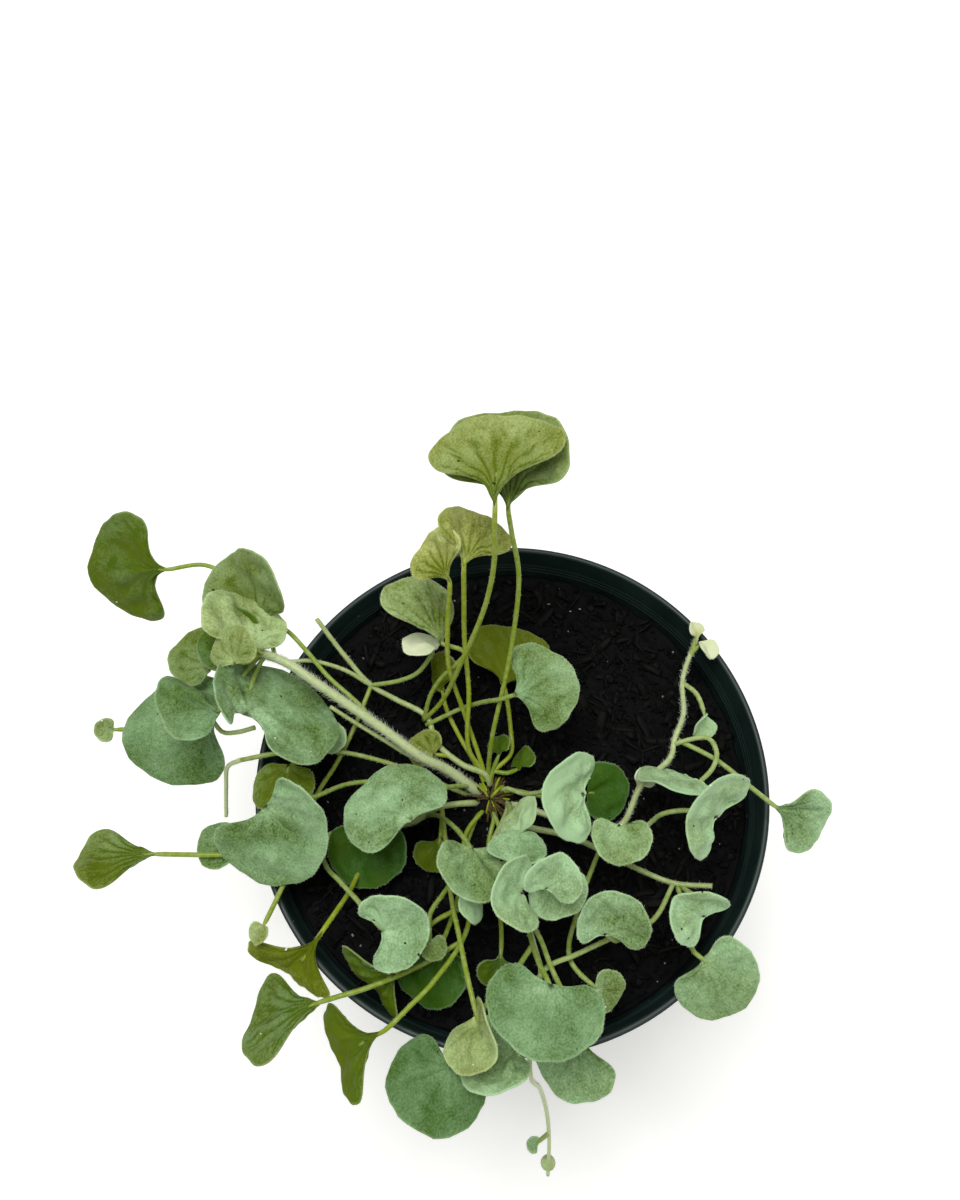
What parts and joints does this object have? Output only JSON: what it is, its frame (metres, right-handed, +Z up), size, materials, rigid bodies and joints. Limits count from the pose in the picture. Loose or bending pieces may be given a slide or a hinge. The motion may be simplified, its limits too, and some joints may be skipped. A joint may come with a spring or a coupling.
{
  "type": "potted creeping foliage plant",
  "caption": "Round nursery pot filled with soil, with a creeping plant of felted kidney-shaped leaves on long stalks and runners that spill over the rim.",
  "frame": {"origin": "centre of the pot's flat underside, on the surface that the pot stands on", "axes": "+Z up along the pot's axis; +Y toward the tall pair of leaves, away from the picture's viewer; +X to the viewer's right"},
  "size_m": [0.1934, 0.1635, 0.1844],
  "materials": {
    "pot_plastic": "black moulded plastic with a soft sheen",
    "soil_mix": "damp dark potting mix with bark chips and pale grit",
    "silver_leaf": "matt silver-green leaf with a fine white felt",
    "olive_leaf": "matt olive-green leaf with sparse felt"
  },
  "bodies": {
    "root": {"pot": "pot_plastic", "soil": "soil_mix", "stem_back": "olive_leaf", "runner_left": "silver_leaf", "stem_left": "silver_leaf", "runner_left_low": "silver_leaf", "stems_front_left": "olive_leaf", "stems_front": "silver_leaf", "tuft_middle": "silver_leaf", "stem_right_middle": "silver_leaf", "runner_right": "silver_leaf", "runner_front_right": "silver_leaf"}
  },
  "joints": []
}
